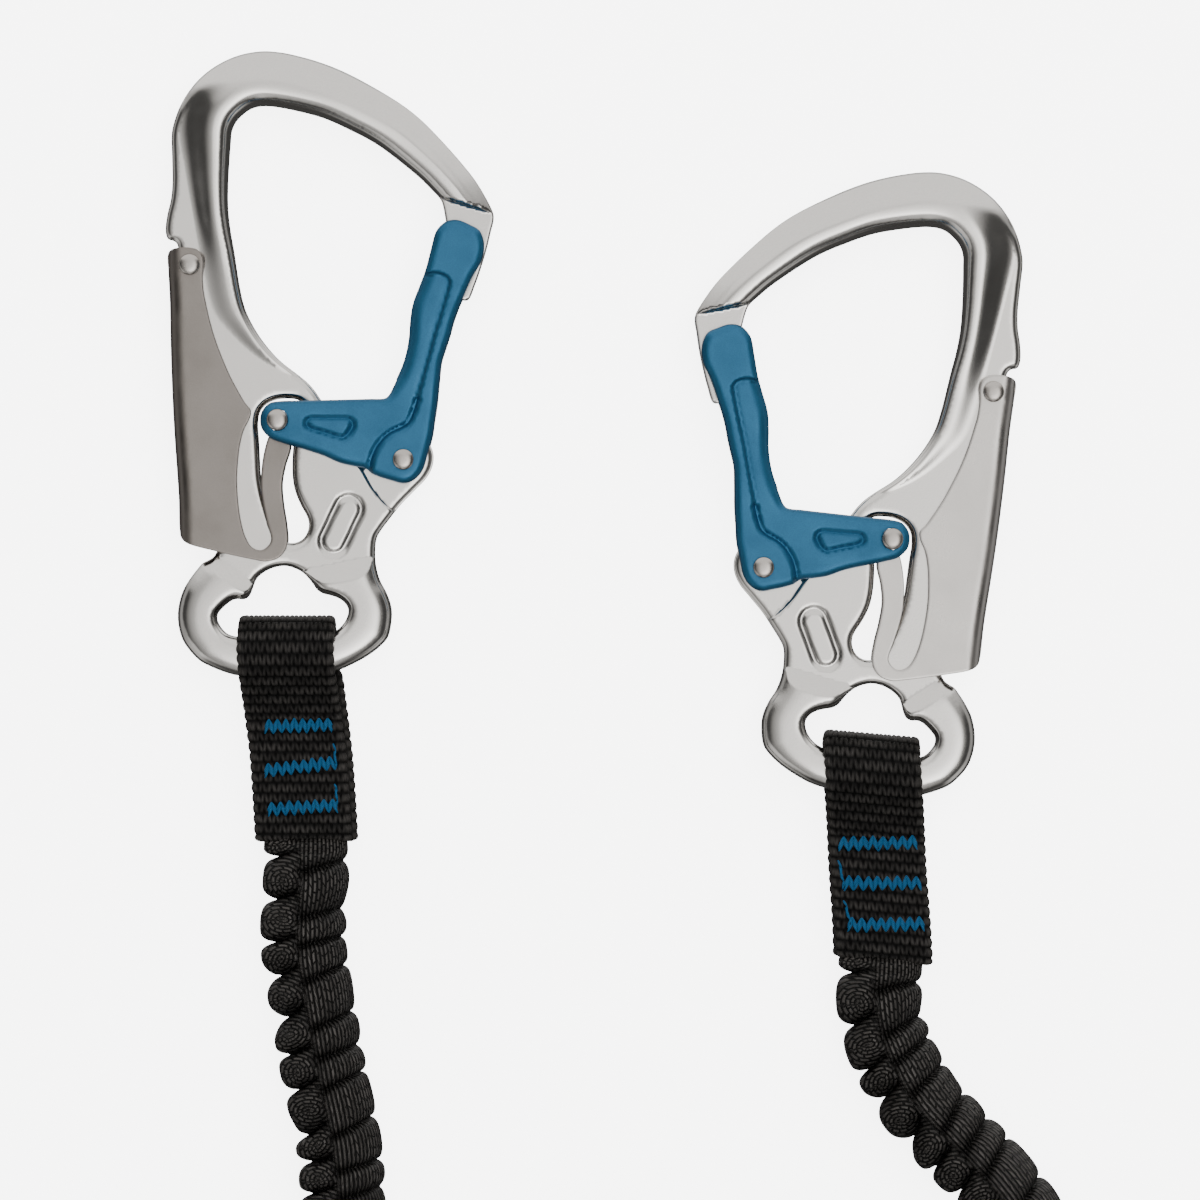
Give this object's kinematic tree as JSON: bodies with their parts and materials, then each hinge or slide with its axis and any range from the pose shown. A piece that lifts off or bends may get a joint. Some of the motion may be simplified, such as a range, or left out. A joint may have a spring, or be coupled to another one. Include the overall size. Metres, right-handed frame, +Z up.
{
  "type": "via ferrata lanyard",
  "caption": "Via ferrata lanyard: locking palm-lever connectors on puckered elastic arms, joined to a pouched tear-webbing energy absorber with a tie-in loop.",
  "frame": {"origin": "on the floor, under the middle of the rigid pieces' box", "axes": "+Y along the lanyard towards the connectors, +X to the right seen from above, +Z up"},
  "size_m": [0.1926, 0.5901, 0.03],
  "materials": {
    "forged_aluminium": "satin polished forging",
    "anodised_gate": "blue anodised, fine satin",
    "lever_sheet": "tumbled stainless sheet",
    "rivet_steel": "domed and polished",
    "spring_steel": "drawn wire and strip",
    "webbing": "flat woven black webbing",
    "arm_webbing": "black tubular webbing, gathered by elastic",
    "bartack_thread": "blue zigzag bartack thread",
    "elastic_rubber": "bundle of rubber strands",
    "pouch_fabric": "plain woven pouch cloth",
    "zip_plastic": "black moulded plastic"
  },
  "bodies": {
    "lanyard": {"left_webbing_end": "webbing", "left_bartacks": "bartack_thread", "left_elastic_arm": "arm_webbing", "left_elastic_core": "elastic_rubber", "right_webbing_end": "webbing", "right_bartacks": "bartack_thread", "right_elastic_arm": "arm_webbing", "right_elastic_core": "elastic_rubber", "junction_bartacks": "bartack_thread", "tie_in_bartacks": "bartack_thread", "absorber_pouch": "pouch_fabric", "tear_webbing": "webbing", "arm_junction": "webbing", "tie_in_loop": "webbing", "pouch_zip": "zip_plastic"},
    "left_connector": {"left_connector_body": "forged_aluminium", "left_gate_rivet": "rivet_steel", "left_lever_rivet": "rivet_steel", "left_gate_spring": "spring_steel"},
    "left_gate": {"left_gate": "anodised_gate", "left_lock_pin": "rivet_steel"},
    "left_lever": {"left_palm_lever": "lever_sheet", "left_lever_spring": "spring_steel"},
    "right_connector": {"right_connector_body": "forged_aluminium", "right_gate_rivet": "rivet_steel", "right_lever_rivet": "rivet_steel", "right_gate_spring": "spring_steel"},
    "right_gate": {"right_gate": "anodised_gate", "right_lock_pin": "rivet_steel"},
    "right_lever": {"right_palm_lever": "lever_sheet", "right_lever_spring": "spring_steel"},
    "zip_slider": {"zip_slider": "zip_plastic"}
  },
  "joints": [
    {"name": "left_connector_swing", "type": "hinge", "parent": "lanyard", "child": "left_connector", "pos_m": [-0.0622, 0.0964, 0.0079], "axis": [1, 0, 0], "range_deg": [-120, 120]},
    {"name": "left_gate_hinge", "type": "hinge", "parent": "left_connector", "child": "left_gate", "pos_m": [-0.03904, 0.13554, 0.0079], "axis": [0, 0, 1], "range_deg": [0, 42], "stiffness_Nm_per_rad": 0.2, "springref_deg": -68.75},
    {"name": "left_lever_hinge", "type": "hinge", "parent": "left_connector", "child": "left_lever", "pos_m": [-0.08174, 0.1745, 0.0079], "axis": [0, 0, 1], "range_deg": [0, 7.01], "deforming": ["left_lever_spring"]},
    {"name": "right_connector_swing", "type": "hinge", "parent": "lanyard", "child": "right_connector", "pos_m": [0.0525, 0.073, 0.0079], "axis": [-0.9962, 0.0872, 0], "range_deg": [-120, 120]},
    {"name": "right_gate_hinge", "type": "hinge", "parent": "right_connector", "child": "right_gate", "pos_m": [0.03284, 0.11401, 0.0079], "axis": [0, 0, -1], "range_deg": [0, 42], "stiffness_Nm_per_rad": 0.2, "springref_deg": -68.75},
    {"name": "right_lever_hinge", "type": "hinge", "parent": "right_connector", "child": "right_lever", "pos_m": [0.07877, 0.1491, 0.0079], "axis": [0, 0, -1], "range_deg": [0, 7.01], "deforming": ["right_lever_spring"]},
    {"name": "zip_slide", "type": "slide", "parent": "lanyard", "child": "zip_slider", "axis": [0, -1, 0], "range_m": [0, 0.068]}
  ],
  "couplings": [
    {"joint": "left_lever_hinge", "follows": "left_gate_hinge", "ratio": 0.16667},
    {"joint": "right_lever_hinge", "follows": "right_gate_hinge", "ratio": 0.16667}
  ]
}
